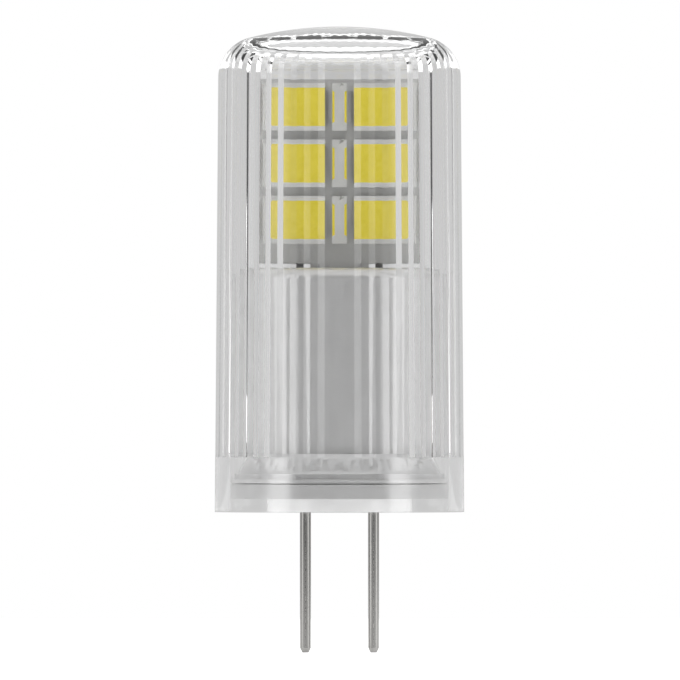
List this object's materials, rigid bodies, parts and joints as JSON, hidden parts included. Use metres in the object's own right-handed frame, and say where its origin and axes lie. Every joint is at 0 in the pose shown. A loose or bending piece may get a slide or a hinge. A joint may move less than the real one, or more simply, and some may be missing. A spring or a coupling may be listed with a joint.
{
  "type": "led capsule bulb",
  "caption": "Two-pin low-voltage capsule bulb: LED boards in a thick clear fluted cover over a grey driver sleeve, with a grey base plug and straight contact pins.",
  "frame": {"origin": "middle of the base plane, halfway between the two contact pins where they leave the base", "axes": "+Z from the base to the dome, pins pointing down along -Z; X runs through both pins; -Y is the front, towards the camera, facing one LED board"},
  "size_m": [0.0146, 0.0146, 0.0367],
  "materials": {
    "cover": "clear polished plastic",
    "plug": "glossy light grey moulding",
    "pins": "drawn plated wire",
    "sleeve": "glossy light grey moulding",
    "spreader": "rolled aluminium",
    "board": "white solder resist",
    "driver_board": "green solder resist",
    "solder": "tinned solder",
    "terminals": "tin plated",
    "package": "white moulded package",
    "phosphor": "yellow phosphor in clear resin",
    "chip": "black moulded package",
    "ferrite": "dark ferrite",
    "winding": "enamelled copper wire, wound",
    "capacitor": "sleeved can",
    "resistor": "chip resistor",
    "chip_capacitor": "chip capacitor",
    "wire": "insulated wire"
  },
  "bodies": {
    "root": {"base_plug": "plug", "bridge_rectifier": "chip", "chip_capacitor_left": "chip_capacitor", "chip_capacitor_right": "chip_capacitor", "clear_cover": "cover", "driver_board": "driver_board", "driver_ic": "chip", "driver_ic_leads": "terminals", "driver_sleeve": "sleeve", "heat_spreader": "spreader", "inductor_core": "ferrite", "inductor_winding": "winding", "led_board_back": "board", "led_board_front": "board", "led_package_back_1": "package", "led_package_back_2": "package", "led_package_back_3": "package", "led_package_back_4": "package", "led_package_back_5": "package", "led_package_back_6": "package", "led_package_front_1": "package", "led_package_front_2": "package", "led_package_front_3": "package", "led_package_front_4": "package", "led_package_front_5": "package", "led_package_front_6": "package", "led_terminals_back": "terminals", "led_terminals_front": "terminals", "link_wire_back": "wire", "link_wire_front": "wire", "phosphor_back_1": "phosphor", "phosphor_back_2": "phosphor", "phosphor_back_3": "phosphor", "phosphor_back_4": "phosphor", "phosphor_back_5": "phosphor", "phosphor_back_6": "phosphor", "phosphor_front_1": "phosphor", "phosphor_front_2": "phosphor", "phosphor_front_3": "phosphor", "phosphor_front_4": "phosphor", "phosphor_front_5": "phosphor", "phosphor_front_6": "phosphor", "pin_left": "pins", "pin_right": "pins", "pin_solder": "solder", "rectifier_leads": "terminals", "sense_resistor_left": "resistor", "sense_resistor_right": "resistor", "smoothing_capacitor": "capacitor"}
  },
  "joints": []
}
